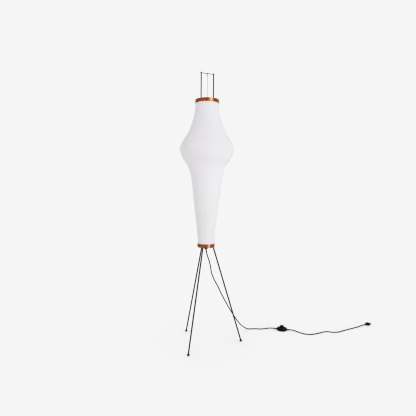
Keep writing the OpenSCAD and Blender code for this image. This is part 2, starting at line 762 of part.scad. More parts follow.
leg_side();
leg_back();
leg_front();
foot_side();
foot_back();
foot_front();
base_plate();
leg_nuts();
bottom_band();
upright_left();
upright_right();
upright_nuts();
crossbar();
crossbar_caps();
hook();
stem_tube();
stem_nuts();
cord_grip();
lamp_relief();
inner_lead();
holder_cap();
holder_sleeve();
holder_insert();
screw_shell();
centre_contact();
bulb_cap();
bulb_glass();
paper_shade();
rib_hoops();
top_band();
top_cross_wire();
hanging_wire();
lamp_cord();
switch_base();
switch_cover();
switch_button();
button_spring();
contact_block();
switch_screws();
switch_relief_in();
switch_relief_out();
plug_cord();
plug_relief();
plug_body();
plug_blades();
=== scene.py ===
import json
import math

import bpy
import numpy as np
from mathutils import Matrix, Vector


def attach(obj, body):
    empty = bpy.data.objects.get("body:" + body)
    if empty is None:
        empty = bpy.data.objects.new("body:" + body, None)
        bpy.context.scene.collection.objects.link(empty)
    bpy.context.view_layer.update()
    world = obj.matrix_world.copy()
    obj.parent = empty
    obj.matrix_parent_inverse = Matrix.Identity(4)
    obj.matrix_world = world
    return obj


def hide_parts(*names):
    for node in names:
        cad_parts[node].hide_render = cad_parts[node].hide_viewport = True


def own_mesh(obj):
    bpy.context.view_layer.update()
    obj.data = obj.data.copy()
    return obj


# The looks of the paper lantern floor lamp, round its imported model.

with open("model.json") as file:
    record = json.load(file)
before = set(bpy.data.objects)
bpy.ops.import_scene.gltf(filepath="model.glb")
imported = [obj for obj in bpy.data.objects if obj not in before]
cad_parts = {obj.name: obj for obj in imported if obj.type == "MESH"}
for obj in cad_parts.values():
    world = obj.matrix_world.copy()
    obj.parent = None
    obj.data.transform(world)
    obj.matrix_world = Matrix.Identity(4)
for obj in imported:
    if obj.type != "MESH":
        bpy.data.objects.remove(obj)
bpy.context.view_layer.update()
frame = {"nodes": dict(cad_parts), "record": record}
cadNodes = frame["nodes"]
print("scene: frame loaded,", len(cadNodes), "CAD nodes")


# Camera.

cameraSet = {
    "place": (0.00987, -2.225, 0.875),
    "pitchDown": 0.031,      # radians
    "roll": 0.0087,          # radians, turns the picture clockwise
    "focalPixels": 375.0,
    "imagePixels": 416.0,
    "sensor": 36.0,          # mm
    "clip": (0.05, 200.0),
    "filterWidth": 1.2,      # pixels, for a film as crisp as the photograph's
}


def makeCamera(settings):
    # A level camera that looks along +Y, tipped down by the pitch, then turned about its own view line by
    # the roll.
    data = bpy.data.cameras.new("photoCamera")
    data.sensor_fit = "HORIZONTAL"
    data.sensor_width = settings["sensor"]
    data.lens = settings["sensor"] * settings["focalPixels"] / settings["imagePixels"]
    data.clip_start, data.clip_end = settings["clip"]
    camera = bpy.data.objects.new("photoCamera", data)
    bpy.context.scene.collection.objects.link(camera)
    tip = Matrix.Rotation(math.pi / 2 - settings["pitchDown"], 4, "X")
    roll = Matrix.Rotation(settings["roll"], 4, "Z")
    camera.matrix_world = Matrix.Translation(settings["place"]) @ tip @ roll
    bpy.context.scene.camera = camera
    bpy.context.scene.cycles.filter_width = settings["filterWidth"]


makeCamera(cameraSet)
print("scene: camera made")


# Shape helpers.

def wayTo(turn, tilt=90.0):
    # A unit vector, tipped by the tilt from straight down, then turned about the upright axis,
    # both in degrees.
    turn, tilt = math.radians(turn), math.radians(tilt)
    return np.array([math.sin(tilt) * math.cos(turn), math.sin(tilt) * math.sin(turn), -math.cos(tilt)])


def polar(radius, angle, height):
    # Points from the radius, the angle about the lamp's axis and the height, broadcast together.
    return np.stack(np.broadcast_arrays(radius * np.cos(angle), radius * np.sin(angle), height), -1)


def cubic(f, start, end, startSlope, endSlope):
    # The cubic that leaves the start and reaches the end with the slopes given, as f runs from 0 to 1.
    return ((2 * f**3 - 3 * f**2 + 1) * start + (f**3 - 2 * f**2 + f) * startSlope
            + (3 * f**2 - 2 * f**3) * end + (f**3 - f**2) * endSlope)


def ringFaces(rows, columns, joined=False):
    # Quads on a grid of points whose columns close into a ring. Where it is joined, the last row meets the
    # first. The faces point out if each row runs anticlockwise, as seen from the rows after it.
    r, c = np.meshgrid(np.arange(rows if joined else rows - 1), np.arange(columns), indexing="ij")
    r, c = r.ravel(), c.ravel()
    rowAfter, columnAfter = (r + 1) % rows, (c + 1) % columns
    return np.stack([r * columns + c, r * columns + columnAfter,
                     rowAfter * columns + columnAfter, rowAfter * columns + c], -1)


def newPiece(name, points, faces):
    # A smooth mesh at the origin, from points in metres and lists of corners.
    mesh = bpy.data.meshes.new(name)
    mesh.from_pydata(np.reshape(points, (-1, 3)).tolist(), [], faces)
    mesh.shade_smooth()
    piece = bpy.data.objects.new(name, mesh)
    bpy.context.scene.collection.objects.link(piece)
    return piece


# Cords, on the route points of part.scad.

cordSet = {
    "diameter": 0.0055,      # metres; every other size here is in mm and degrees, as in part.scad
    "straight": 12.0,        # straight run out of each relief
    "reliefTop": (0, 0, 560),                # of the relief under the lamp, which leans
    "reliefLength": 20.0, "reliefTilt": 14, "reliefTurn": 37,
    "switchMid": (503, 219, 6), "switchTurn": -15,
    "switchReach": 53.0,     # from the switch's middle to the end of each relief
    "plugStart": (1083, 312, 7.5), "plugTurn": 28,      # where the cord meets the plug's relief
}

straight = cordSet["straight"]
lampWay = wayTo(cordSet["reliefTurn"], cordSet["reliefTilt"])
lampStart = cordSet["reliefTop"] + cordSet["reliefLength"] * lampWay
switchMid = np.array(cordSet["switchMid"], float)
switchWay = wayTo(cordSet["switchTurn"])
switchIn = switchMid - cordSet["switchReach"] * switchWay
switchOut = switchMid + cordSet["switchReach"] * switchWay
plugStart = np.array(cordSet["plugStart"], float)
plugWay = wayTo(cordSet["plugTurn"])

lampRoute = [
    lampStart, lampStart + straight * lampWay, (12, 9, 511), (19, 14.5, 490),
    (25, 19, 467), (29.5, 22.5, 443), (34, 26, 416), (43, 33, 390), (54, 42, 364), (68, 53, 337),
    (80, 63, 312), (92, 72, 284), (107, 84, 254), (127, 100, 214), (149, 117, 172),
    (172, 135, 132), (196, 154, 92), (220, 173, 57), (244, 192, 31), (266, 209, 13),
    (288, 221, 4.5), (312, 228, 3), (338, 229, 3), (363, 226, 3), (384, 230, 3),
    (403, 235.5, 3.6), (421.5, 238, 5), switchIn - straight * switchWay, switchIn,
]
plugRoute = [
    switchOut, switchOut + straight * switchWay,
    (578, 197, 5), (589, 188, 3.6), (599, 177, 3), (610, 164, 3),
    (622, 151, 3), (638, 140, 3), (657, 135, 3), (677, 136, 3), (697, 143, 3),
    (719, 153, 3), (742, 166, 3), (763, 179, 3), (784, 186, 3), (804, 184, 3),
    (823, 177, 3), (844, 176, 3), (866, 184, 3), (890, 198, 3), (940, 229, 3),
    (990, 258, 3), (1026, 280, 3.2), (1052, 295, 5.4), plugStart - straight * plugWay, plugStart,
]


def routeSlopes(points):
    # Half the step between a point's neighbours, and the whole step at either end, as part.scad takes them.
    slopes = np.empty_like(points)
    slopes[1:-1] = (points[2:] - points[:-2]) / 2
    slopes[0], slopes[-1] = points[1] - points[0], points[-1] - points[-2]
    return slopes


def curveLength(points, slopes):
    # Length of the cubic through the points: its derivative's size, summed over 64 steps a span.
    steps = 64
    f = ((np.arange(steps) + 0.5) / steps)[:, None, None]
    a, b, slopeA, slopeB = points[:-1], points[1:], slopes[:-1], slopes[1:]
    speed = (6 * f**2 - 6 * f) * (a - b) + (3 * f**2 - 4 * f + 1) * slopeA + (3 * f**2 - 2 * f) * slopeB
    return float(np.linalg.norm(speed, axis=2).sum() / steps)


def makeCord(name, route, diameter):
    # One open Bezier spline. Its handles are a third of the slopes, so it is the same cubic as in
    # part.scad. Its points hold the cord's radius, because Blender's bounding box of a curve counts them.
    points = np.array(route, float) / 1000
    slopes = routeSlopes(points)
    data = bpy.data.curves.new(name, "CURVE")
    data.dimensions = "3D"
    data.bevel_depth = 1.0       # times each point's radius
    data.bevel_resolution = 4
    data.resolution_u = 8
    data.use_fill_caps = True
    spline = data.splines.new("BEZIER")
    spline.bezier_points.add(len(points) - 1)
    for key, values in (("co", points), ("handle_left", points - slopes / 3),
                        ("handle_right", points + slopes / 3)):
        spline.bezier_points.foreach_set(key, values.ravel())
    for point in spline.bezier_points:
        point.handle_left_type = point.handle_right_type = "FREE"
        point.radius = diameter / 2
    cord = bpy.data.objects.new(name, data)
    bpy.context.scene.collection.objects.link(cord)
    return cord, points[0], curveLength(points, slopes)


# The switch's return spring.

springSet = {
    "turns": 4, "radius": 4.5,       # every size here is in mm
    "wire": 0.4,                     # radius of the wire
    "bottom": 7.5, "top": 14.0, "travel": 3.0,
    "stepsPerTurn": 28, "sides": 10,
}


def makeSpring(settings):
    # A helix round the switch's middle: its height rises evenly with the turn, a ring of points stands
    # square to the wire at each step, and a flat cap closes each end.
    radius, wire, sides = settings["radius"], settings["wire"], settings["sides"]
    steps = settings["turns"] * settings["stepsPerTurn"]
    wholeTurn = settings["turns"] * 2 * np.pi
    share = np.linspace(0, 1, steps + 1)
    angle = share * wholeTurn + math.radians(cordSet["switchTurn"])
    low, high = settings["bottom"] + wire, settings["top"] - wire
    outward = np.stack([np.cos(angle), np.sin(angle), np.zeros_like(angle)], -1)
    middle = radius * outward + (switchMid[0], switchMid[1], 0)
    middle[:, 2] = low + (high - low) * share
    rise = np.full_like(angle, (high - low) / wholeTurn)
    along = np.stack([-radius * np.sin(angle), radius * np.cos(angle), rise], -1)
    along /= np.linalg.norm(along, axis=1)[:, None]
    upward = np.cross(along, outward)
    turn = (np.arange(sides) * 2 * np.pi / sides)[None, :, None]
    points = middle[:, None] + wire * (np.cos(turn) * outward[:, None] + np.sin(turn) * upward[:, None])
    caps = [list(range(sides))[::-1], list(range(steps * sides, (steps + 1) * sides))]
    return newPiece("return_spring", points / 1000, ringFaces(steps + 1, sides).tolist() + caps)


spring = makeSpring(springSet)
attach(spring, "stand")
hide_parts("button_spring")
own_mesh(spring)

lampCord, lampExit, lampLength = makeCord("lamp_lead", lampRoute, cordSet["diameter"])
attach(lampCord, "stand")
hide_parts("lamp_cord")

plugCord, plugExit, plugLength = makeCord("plug_lead", plugRoute, cordSet["diameter"])
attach(plugCord, "stand")
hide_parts("plug_cord")
print("scene: spring and cords made, %.3f m and %.3f m" % (lampLength, plugLength))


# Node helpers.

def addNode(tree, kind, inputs=None, **settings):
    # Adds a node. An input that is a socket is linked, and any other value is set.
    node = tree.nodes.new(kind)
    for key, value in settings.items():
        setattr(node, key, value)
    for key, value in (inputs or {}).items():
        if isinstance(value, bpy.types.NodeSocket):
            tree.links.new(value, node.inputs[key])
        else:
            node.inputs[key].default_value = value
    return node


def calc(tree, operation, a, b=0.0):
    # One Math node on two values.
    return addNode(tree, "ShaderNodeMath", {0: a, 1: b}, operation=operation).outputs[0]


def ramp(tree, value, low, high, toLow=0.0, toHigh=1.0):
    # An eased step from one value to another, as the input goes from low to high.
    node = addNode(tree, "ShaderNodeMapRange",
                   {"Value": value, "From Min": low, "From Max": high, "To Min": toLow, "To Max": toHigh},
                   interpolation_type="SMOOTHSTEP", clamp=True)
    return node.outputs["Result"]


def mixColour(tree, share, first, second):
    # A plain mix of two colours by a share, each colour a socket or three numbers. On a Mix node of
    # colours, input 0 is the share, 6 and 7 are the colours, and output 2 is the mix.
    first, second = [value if isinstance(value, bpy.types.NodeSocket) else (*value, 1.0)
                     for value in (first, second)]
    node = addNode(tree, "ShaderNodeMix", {0: share, 6: first, 7: second}, data_type="RGBA")
    return node.outputs[2]


noiseSpan = (0.3, 0.7)       # most of a noise's values lie between these


def noiseOn(tree, scale, detail=3.0, stretch=(1.0, 1.0, 1.0), roughness=0.55):
    # Noise on Object coordinates, stretched by a Mapping node.
    place = addNode(tree, "ShaderNodeTexCoord").outputs["Object"]
    place = addNode(tree, "ShaderNodeMapping", {"Vector": place, "Scale": stretch}).outputs[0]
    inputs = {"Vector": place, "Scale": scale, "Detail": detail, "Roughness": roughness}
    return addNode(tree, "ShaderNodeTexNoise", inputs).outputs["Fac"]


def newTree(owner):
    # The empty node tree of a material or world.
    owner.use_nodes = True
    owner.node_tree.nodes.clear()
    return owner.node_tree


def newMaterial(name, **sockets):
    # A material with one Principled shader, its constants set on its own sockets.
    material = bpy.data.materials.new(name)
    tree = newTree(material)
    shader = addNode(tree, "ShaderNodeBsdfPrincipled")
    addNode(tree, "ShaderNodeOutputMaterial", {"Surface": shader.outputs[0]})
    for key, value in sockets.items():
        shader.inputs[key.replace("_", " ")].default_value = value
    return material, tree, shader


def setSurface(tree, surface):
    # Puts another shader on the material's surface, in place of the one that newMaterial put there.
    tree.links.new(surface, tree.get_output_node("ALL").inputs["Surface"])


def bumpFrom(tree, shader, height, distance):
    bump = addNode(tree, "ShaderNodeBump", {"Height": height, "Distance": distance, "Strength": 1.0})
    tree.links.new(bump.outputs[0], shader.inputs["Normal"])


# Finishes of the rigid pieces.

coolGloss = (0.5, 0.72, 1.0, 1.0)       # makes the warm screens' reflections neutral on black pieces

finishSet = {
    "blackEnamel": dict(
        dark=(0.005, 0.0048, 0.0056), light=(0.0085, 0.008, 0.0092), rough=(0.4, 0.5), scale=26,
        bump=0.00004, bumpScale=700, Specular_IOR_Level=0.22, Specular_Tint=coolGloss),
    "blackNut": dict(
        dark=(0.045, 0.043, 0.045), light=(0.075, 0.072, 0.072), rough=(0.35, 0.5), scale=300,
        bump=0.00003, Metallic=0.7),
    "footRubber": dict(
        dark=(0.006, 0.006, 0.0066), light=(0.011, 0.0105, 0.0114), rough=(0.42, 0.55), scale=160,
        bump=0.00005, bumpScale=1500, Specular_IOR_Level=0.25, Specular_Tint=coolGloss),
    "copper": dict(
        dark=(0.74, 0.305, 0.105), light=(0.83, 0.355, 0.13), rough=(0.15, 0.23), scale=24,
        stretch=(1, 1, 7), bump=0.00002, bumpScale=320, Metallic=1.0, Coat_Weight=0.5, Coat_Roughness=0.1),
    "antiqueBrass": dict(
        dark=(0.16, 0.13, 0.055), light=(0.27, 0.225, 0.105), rough=(0.3, 0.45), scale=180,
        bump=0.00002, Metallic=1.0),
    "darkWire": dict(
        dark=(0.10, 0.095, 0.08), light=(0.17, 0.16, 0.13), rough=(0.34, 0.46), scale=260,
        bump=0.00002, Metallic=0.9),
    "brightWire": dict(
        dark=(0.31, 0.315, 0.32), light=(0.40, 0.405, 0.41), rough=(0.22, 0.34), scale=300,
        stretch=(1, 1, 0.2), Metallic=0.35),
    "blackPlastic": dict(
        dark=(0.016, 0.0155, 0.017), light=(0.022, 0.021, 0.023), rough=(0.42, 0.5), scale=60,
        bump=0.00006, bumpScale=1900, Specular_Tint=coolGloss),
    "glossPlastic": dict(
        dark=(0.0032, 0.003, 0.0052), light=(0.0048, 0.0045, 0.0072), rough=(0.3, 0.38), scale=40,
        bump=0.00003, bumpScale=600, Specular_IOR_Level=0.14, Specular_Tint=coolGloss),
    "greyPlastic": dict(
        dark=(0.07, 0.07, 0.074), light=(0.095, 0.095, 0.1), rough=(0.45, 0.55), scale=90,
        bump=0.00005, bumpScale=1600, Specular_Tint=coolGloss),
    "porcelain": dict(
        dark=(0.80, 0.77, 0.70), light=(0.88, 0.86, 0.80), rough=(0.12, 0.2), scale=90,
        bump=0.00003, bumpScale=400, Coat_Weight=0.5, Coat_Roughness=0.08),
    "contactBrass": dict(
        dark=(0.54, 0.50, 0.33), light=(0.66, 0.62, 0.43), rough=(0.2, 0.32), scale=160,
        bump=0.00002, Metallic=0.7),
    "capAluminium": dict(
        dark=(0.60, 0.60, 0.595), light=(0.70, 0.70, 0.695), rough=(0.24, 0.36), scale=120,
        stretch=(1, 1, 6), bump=0.00002, Metallic=0.5),
    "opalGlass": dict(
        dark=(0.86, 0.85, 0.82), light=(0.90, 0.89, 0.865), rough=(0.16, 0.24), scale=40,
        Subsurface_Weight=0.2, Subsurface_Scale=0.004, Coat_Weight=0.4, Coat_Roughness=0.06),
    "zincScrew": dict(
        dark=(0.36, 0.36, 0.37), light=(0.48, 0.48, 0.49), rough=(0.26, 0.4), scale=500, Metallic=0.4),
}

finishOfSlot = {
    "black_enamel": "blackEnamel", "black_nut": "blackNut", "foot_rubber": "footRubber",
    "copper": "copper", "antique_brass": "antiqueBrass", "contact_brass": "contactBrass",
    "dark_wire": "darkWire", "bright_wire": "brightWire", "cap_aluminium": "capAluminium",
    "black_plastic": "blackPlastic", "gloss_black_plastic": "glossPlastic",
    "dark_grey_plastic": "greyPlastic", "porcelain": "porcelain", "opal_glass": "opalGlass",
    "zinc_screw": "zincScrew",
}


def makeFinish(name, dark, light, rough, scale, stretch=(1, 1, 1), bump=0.0, bumpScale=900.0, **sockets):
    # A finish whose colour and roughness drift between two values with soft noise, over a fine bump, whose
    # depth is in metres.
    material, tree, shader = newMaterial(name, **sockets)
    drift = noiseOn(tree, scale, detail=4.0, stretch=stretch)
    share = ramp(tree, drift, *noiseSpan)
    tree.links.new(mixColour(tree, share, dark, light), shader.inputs["Base Color"])
    tree.links.new(ramp(tree, drift, *noiseSpan, *rough), shader.inputs["Roughness"])
    if bump:
        bumpFrom(tree, shader, noiseOn(tree, bumpScale, detail=2.0), bump)
    return material


sheathSet = {
    "dark": (0.005, 0.0048, 0.0056), "light": (0.009, 0.0086, 0.0096),
    "grainScale": 1200.0, "grainSpan": (0.35, 0.65), "bump": 0.00004,
    "rough": (0.36, 0.5), "roughScale": 45.0,
}


def makeSheath(settings):
    # Black extruded sheath: satin, with a fine grain and a sheen that drifts.
    material, tree, shader = newMaterial("cordSheath", Specular_IOR_Level=0.22, Specular_Tint=coolGloss)
    grain = noiseOn(tree, settings["grainScale"])
    share = ramp(tree, grain, *settings["grainSpan"])
    tree.links.new(mixColour(tree, share, settings["dark"], settings["light"]), shader.inputs["Base Color"])
    sheen = noiseOn(tree, settings["roughScale"], detail=2.0)
    tree.links.new(ramp(tree, sheen, *noiseSpan, *settings["rough"]), shader.inputs["Roughness"])
    bumpFrom(tree, shader, grain, settings["bump"])
    return material


finishes = {name: makeFinish(name, **values) for name, values in finishSet.items()}
sheath = makeSheath(sheathSet)
lampCord.data.materials.append(sheath)
plugCord.data.materials.append(sheath)
spring.data.materials.append(finishes["brightWire"])

for entry in frame["record"]["subparts"]:
    node, slotName = cadNodes[entry["node"]], entry["material_slot"]
    if slotName in ("shade_paper", "bamboo"):
        continue
    finish = sheath if slotName == "cord_black" else finishes[finishOfSlot[slotName]]
    if not node.material_slots:
        node.data.materials.append(None)
    for materialSlot in node.material_slots:
        materialSlot.material = finish
print("scene: finishes on the rigid pieces")


# The paper shade.

shadeSet = {
    # Height and radius of the paper's outer face, in mm. The radius is 1 mm less than part.scad's over the
    # bulge and up to 4 mm less in the upper cone, because the photograph shows it so.
    "stations": [(595, 49.6), (645, 51.8), (720, 59.8), (800, 70), (880, 79), (950, 86), (1010, 98),
                 (1060, 116), (1100, 143), (1149, 159.5), (1200, 142), (1245, 112.5), (1300, 91),
                 (1360, 75.2), (1420, 68.6)],
    "bottom": 588.5, "top": 1430.5,
    "firstHoop": 592.0, "lastHoop": 1426.0, "bays": 46,
    "sag": 0.8,              # how far the paper is drawn in between two hoops
    "sagShare": 0.86, "sagDrift": 0.07, "sagWaves": (3, 5, 11), "seed": 7,
    "paper": 0.4,            # thickness
    "aroundSteps": 144, "stepsPerBay": 6,
    "travel": 450.0,         # how far the top band slides down
    "seams": 8,              # upright overlaps of the paper strips
}
shadeSet["pitch"] = (shadeSet["lastHoop"] - shadeSet["firstHoop"]) / shadeSet["bays"]


def outlineRadius(z, settings):
    # Cubic through the stations, each slope the step between the neighbours, level at both ends.
    heights, radii = np.array(settings["stations"], float).T
    slopes = np.zeros(len(heights))
    slopes[1:-1] = (radii[2:] - radii[:-2]) / (heights[2:] - heights[:-2])
    z = np.clip(z, heights[0], heights[-1])
    i = np.clip(np.searchsorted(heights, z, side="right") - 1, 0, len(heights) - 2)
    span = heights[i + 1] - heights[i]
    return cubic((z - heights[i]) / span, radii[i], radii[i + 1], slopes[i] * span, slopes[i + 1] * span)


def makePaper(settings):
    # Radius at a height and angle: the outline, drawn in between two hoops by the sag times 4f(1-f), where
    # f is the share of the bay. The sag drifts by up to a fifth round the lamp and from bay to bay, as
    # hand-laid paper does. Above and below the outer hoops the paper is plain.
    bays, pitch, perBay = settings["bays"], settings["pitch"], settings["stepsPerBay"]
    foot = (settings["bottom"] - settings["firstHoop"]) / pitch
    head = bays + (settings["top"] - settings["lastHoop"]) / pitch
    bay = np.concatenate([[foot], np.arange(bays * perBay + 1) / perBay, [head]])
    z = settings["firstHoop"] + bay * pitch
    angle = np.arange(settings["aroundSteps"]) * 2 * np.pi / settings["aroundSteps"]

    whole = np.floor(np.clip(bay, 0, bays) + 1e-6)      # the small step keeps a crest in its own bay
    f = np.where((bay < 0) | (bay > bays), 0.0, bay - whole)
    number = np.minimum(whole, bays - 1).astype(int)
    waves = settings["sagWaves"]
    random = np.random.default_rng(settings["seed"])
    phase = random.uniform(0, 2 * np.pi, (bays + 1, len(waves)))[number]
    drift = sum(np.sin(k * angle + phase[:, j:j + 1]) for j, k in enumerate(waves))
    sag = settings["sag"] * (settings["sagShare"] + settings["sagDrift"] * drift)
    radius = outlineRadius(z, settings)[:, None] - sag * (4 * f * (1 - f))[:, None]

    faces = ringFaces(len(z), len(angle)).tolist()
    paper = newPiece("lantern_paper", polar(radius, angle, z[:, None]) / 1000, faces)
    bayOfPoint = np.repeat(bay, len(angle)).astype(np.float32)
    paper.data.attributes.new("bay", "FLOAT", "POINT").data.foreach_set("value", bayOfPoint)
    wall = paper.modifiers.new("wall", "SOLIDIFY")
    wall.thickness = settings["paper"] / 1000
    wall.offset = -1.0
    wall.use_even_offset = True
    return paper


hoopSet = {
    "half": 0.9,             # half the strip's thickness, in mm
    "gap": 0.03,             # left between a hoop and the paper
    "lapSwell": 0.22, "lapWidth": 0.09,      # where a hoop's ends overlap: share and radians
    "aroundSteps": 96, "sides": 8, "seed": 11,
}


def makeHoops(settings, shade):
    # One bamboo hoop at each crest: a rounded section carried round a ring, so far inside the crest that it
    # clears the paper on both sides of it. Each hoop's two ends overlap, so its inner side swells a little
    # over a few degrees, at a different place on each.
    half, aroundSteps, sides = settings["half"], settings["aroundSteps"], settings["sides"]
    z = shade["firstHoop"] + np.arange(shade["bays"] + 1) * shade["pitch"]
    # The paper's slope just beside a crest: the outline's own, over 2 mm, plus the one that the sag adds.
    lean = np.abs(outlineRadius(z + 1, shade) - outlineRadius(z - 1, shade)) / 2
    steepest = lean + 4 * shade["sag"] / shade["pitch"]
    middle = outlineRadius(z, shade) - shade["paper"] - (half + settings["gap"]) * np.hypot(1, steepest)

    angle = (np.arange(aroundSteps) * 2 * np.pi / aroundSteps)[:, None]
    turn = (np.arange(sides) + 0.5) * 2 * np.pi / sides
    lap = np.random.default_rng(settings["seed"]).uniform(0, 2 * np.pi, len(z))[:, None, None]
    away = np.abs((angle - lap + np.pi) % (2 * np.pi) - np.pi)
    swell = 1 + settings["lapSwell"] * np.exp(-(away / settings["lapWidth"]) ** 2)
    across = half * np.cos(turn)
    radius = middle[:, None, None] + np.where(across < 0, across * swell, across)
    points = polar(radius, angle, z[:, None, None] - half * np.sin(turn))

    firstPoint = np.arange(len(z))[:, None, None] * aroundSteps * sides
    faces = (firstPoint + ringFaces(aroundSteps, sides, joined=True)).reshape(-1, 4).tolist()
    return newPiece("bamboo_hoops", points / 1000, faces)


paperSet = {
    "colour": (0.907, 0.888, 0.907),
    "fibre": (0.87, 0.85, 0.857), "fibreScale": 210.0,
    "fibreStretch": (1, 1, 0.35), "fibreSpan": (0.56, 0.72),
    "cloudScale": 14.0, "cloudSpan": (0.35, 0.7), "cloudShare": 0.35,
    "overHoop": (0.88, 0.855, 0.858), "hoopShare": 0.4,
    "hoopEdge": (0.03, 0.085),       # where the line over a hoop begins to fade and ends, in bays
    "seam": (0.86, 0.84, 0.845), "seamShare": 0.4,
    "seamEdge": (0.0024, 0.0036),    # the same for an overlap, in metres from its middle
    "seamShift": 0.1,        # turn of the overlaps round the lamp, in strips
    "paintedLightGain": 0.05,          # painted light: how much lighter the down-facing bays below the widest hoops are made
    "paintedLightBays": (0, 26, 28, 33),    # where that begins, is full, begins to fade and ends
    "paintedLightStart": 0.1,       # its share where it begins
    "translucent": 0.12,
    "wrinkleScale": 55.0, "wrinkleStretch": (1, 1, 2.2),
    "bump": 0.00012,         # metres, times each form's height below
    "fibreHeight": 0.35, "wrinkleHeight": 1.2, "seamHeight": 0.8,
}


def fromWhole(tree, value, shift):
    # Distance from the nearest whole number, after a shift that keeps the value above zero.
    part = calc(tree, "FRACT", calc(tree, "ADD", value, shift + 0.5))
    return calc(tree, "ABSOLUTE", calc(tree, "SUBTRACT", part, 0.5))


def makePaperFinish(settings, seams):
    # Hand-made paper: fine long fibres, a faint tan line where the paper is glued over a hoop, and an
    # upright overlap where two strips meet. The hoop lines follow the bay number, and the overlaps the
    # angle round the lamp's axis. Painted light makes the bays below the widest hoops lighter, where the
    # paper faces down into shade.
    material, tree, shader = newMaterial("lanternPaper", Roughness=0.78, Specular_IOR_Level=0.03)
    fibres = noiseOn(tree, settings["fibreScale"], detail=6.0,
                     stretch=settings["fibreStretch"], roughness=0.7)
    fibreShare = ramp(tree, fibres, *settings["fibreSpan"])
    colour = mixColour(tree, fibreShare, settings["colour"], settings["fibre"])
    cloud = noiseOn(tree, settings["cloudScale"])
    cloudShare = ramp(tree, cloud, *settings["cloudSpan"], 0.0, settings["cloudShare"])
    colour = mixColour(tree, cloudShare, colour, settings["fibre"])

    bay = addNode(tree, "ShaderNodeAttribute", attribute_name="bay").outputs["Fac"]
    onHoop = ramp(tree, fromWhole(tree, bay, 1.0), *settings["hoopEdge"], 1.0, 0.0)
    hoopShare = calc(tree, "MULTIPLY", onHoop, settings["hoopShare"])
    colour = mixColour(tree, hoopShare, colour, settings["overHoop"])

    place = addNode(tree, "ShaderNodeTexCoord").outputs["Object"]
    x, y, _ = addNode(tree, "ShaderNodeSeparateXYZ", {0: place}).outputs
    strip = calc(tree, "MULTIPLY", calc(tree, "ARCTAN2", y, x), seams / (2 * math.pi))
    squares = calc(tree, "ADD", calc(tree, "MULTIPLY", x, x), calc(tree, "MULTIPLY", y, y))
    stripWidth = calc(tree, "MULTIPLY", calc(tree, "SQRT", squares), 2 * math.pi / seams)
    fromSeam = calc(tree, "MULTIPLY", fromWhole(tree, strip, seams + settings["seamShift"]), stripWidth)
    onSeam = ramp(tree, fromSeam, *settings["seamEdge"], 1.0, 0.0)
    seamShare = calc(tree, "MULTIPLY", onSeam, settings["seamShare"])
    colour = mixColour(tree, seamShare, colour, settings["seam"])

    # Painted light: the bays below the widest hoops, whose paper faces down into shade, are made lighter.
    begins, full, fades, ends = settings["paintedLightBays"]
    rising = ramp(tree, bay, begins, full, settings["paintedLightStart"], 1.0)
    paintedLightShare = calc(tree, "MULTIPLY", ramp(tree, bay, ends, fades), rising)
    gain = calc(tree, "ADD", calc(tree, "MULTIPLY", paintedLightShare, settings["paintedLightGain"]), 1.0)
    colour = addNode(tree, "ShaderNodeVectorMath", {0: colour, "Scale": gain}, operation="SCALE").outputs[0]
    tree.links.new(colour, shader.inputs["Base Color"])

    wrinkle = noiseOn(tree, settings["wrinkleScale"], detail=4.0, stretch=settings["wrinkleStretch"])
    height = calc(tree, "MULTIPLY", fibres, settings["fibreHeight"])
    height = calc(tree, "ADD", height, calc(tree, "MULTIPLY", wrinkle, settings["wrinkleHeight"]))
    height = calc(tree, "ADD", height, calc(tree, "MULTIPLY", onSeam, settings["seamHeight"]))
    bumpFrom(tree, shader, height, settings["bump"])
    through = addNode(tree, "ShaderNodeBsdfTranslucent", {"Color": colour}).outputs[0]
    mixed = addNode(tree, "ShaderNodeMixShader",
                    {0: settings["translucent"], 1: shader.outputs[0], 2: through})
    setSurface(tree, mixed.outputs[0])
    return material


bambooSet = {
    "dark": (0.60, 0.46, 0.25), "light": (0.76, 0.64, 0.41),
    "streakScale": 60.0, "streakStretch": (1, 1, 14),
    "mark": (0.42, 0.29, 0.14), "markScale": 22.0, "markSpan": (0.62, 0.75), "markShare": 0.5,
    "rough": (0.42, 0.56), "bump": 0.00008,
}


def makeBambooFinish(settings):
    # Split bamboo: pale straw with fine streaks that run with the hoop, and darker marks here and there.
    material, tree, shader = newMaterial("splitBamboo", Specular_IOR_Level=0.4)
    streak = noiseOn(tree, settings["streakScale"], detail=4.0, stretch=settings["streakStretch"])
    colour = mixColour(tree, ramp(tree, streak, *noiseSpan), settings["dark"], settings["light"])
    mark = noiseOn(tree, settings["markScale"], detail=2.0)
    markShare = ramp(tree, mark, *settings["markSpan"], 0.0, settings["markShare"])
    tree.links.new(mixColour(tree, markShare, colour, settings["mark"]), shader.inputs["Base Color"])
    tree.links.new(ramp(tree, streak, *noiseSpan, *settings["rough"]), shader.inputs["Roughness"])
    bumpFrom(tree, shader, streak, settings["bump"])
    return material


paper = makePaper(shadeSet)
paper.data.materials.append(makePaperFinish(paperSet, shadeSet["seams"]))
hoops = makeHoops(hoopSet, shadeSet)
hoops.data.materials.append(makeBambooFinish(bambooSet))
for piece, node, slotName in ((paper, "paper_shade", "shade_paper"), (hoops, "rib_hoops", "bamboo")):
    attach(piece, "stand")
    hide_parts(node)
    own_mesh(piece)
shadeFaces = len(paper.data.polygons), len(hoops.data.polygons)
print("scene: shade made, %d paper faces, %d hoop faces" % shadeFaces)


# The opal bulb.

bulbSet = {
    "neckZ": 852.0, "centreZ": 903.0,        # every size here is in mm
    "radius": 30.0, "neckRadius": 12.5, "wall": 1.0,
    "lowAngle": math.radians(-40),           # where the neck meets the ball
    "neckSlope": (2.0, 22.0),                # of the neck's foot: outward and up
    "steps": 30, "aroundSteps": 72,
}


